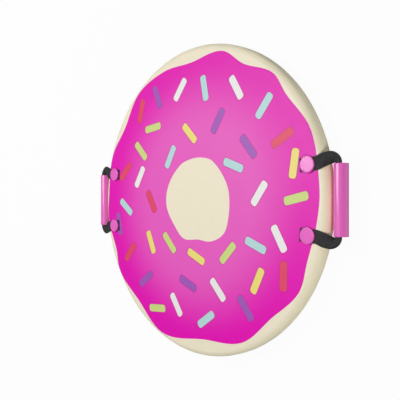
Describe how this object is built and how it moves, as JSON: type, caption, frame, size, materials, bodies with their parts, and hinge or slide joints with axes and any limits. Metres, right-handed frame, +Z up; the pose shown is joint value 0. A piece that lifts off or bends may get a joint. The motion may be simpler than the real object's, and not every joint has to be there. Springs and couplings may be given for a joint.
{
  "type": "foam snow sled",
  "caption": "Round foam snow sled with a printed film deck, a slick underside and, on each side, a webbing handle that swings and carries a turning tube grip.",
  "frame": {"origin": "on the ground under the middle of the disc, at the centre of the bounding box's bottom face", "axes": "+Z up out of the deck, X through the two handles, Y along their grips"},
  "size_m": [0.726, 0.66, 0.0432],
  "materials": {
    "printed_film": "satin",
    "closed_cell_foam": "matte",
    "slick_sheet": "satin",
    "cap_plastic": "satin",
    "webbing": "matte",
    "grip_plastic": "satin"
  },
  "bodies": {
    "sled": {"top_skin": "printed_film", "foam_core": "closed_cell_foam", "slick_base": "slick_sheet", "upper_cap_left_front": "cap_plastic", "upper_cap_left_rear": "cap_plastic", "upper_cap_right_front": "cap_plastic", "upper_cap_right_rear": "cap_plastic", "lower_cap_left_front": "cap_plastic", "lower_cap_left_rear": "cap_plastic", "lower_cap_right_front": "cap_plastic", "lower_cap_right_rear": "cap_plastic"},
    "handle_left": {"strap_left": "webbing"},
    "handle_right": {"strap_right": "webbing"},
    "turning_grip_left": {"grip_left": "grip_plastic"},
    "turning_grip_right": {"grip_right": "grip_plastic"}
  },
  "joints": [
    {"name": "handle_left_swing", "type": "hinge", "parent": "sled", "child": "handle_left", "pos_m": [-0.31104, 0, 0.039], "axis": [0, 1, 0], "range_deg": [0, 135], "deforming": ["strap_left"]},
    {"name": "handle_right_swing", "type": "hinge", "parent": "sled", "child": "handle_right", "pos_m": [0.31104, 0, 0.039], "axis": [0, -1, 0], "range_deg": [0, 135], "deforming": ["strap_right"]},
    {"name": "grip_left_spin", "type": "hinge", "parent": "handle_left", "child": "turning_grip_left", "pos_m": [-0.35, 0, 0.0245], "axis": [0, 1, 0], "continuous": true},
    {"name": "grip_right_spin", "type": "hinge", "parent": "handle_right", "child": "turning_grip_right", "pos_m": [0.35, 0, 0.0245], "axis": [0, 1, 0], "continuous": true}
  ]
}
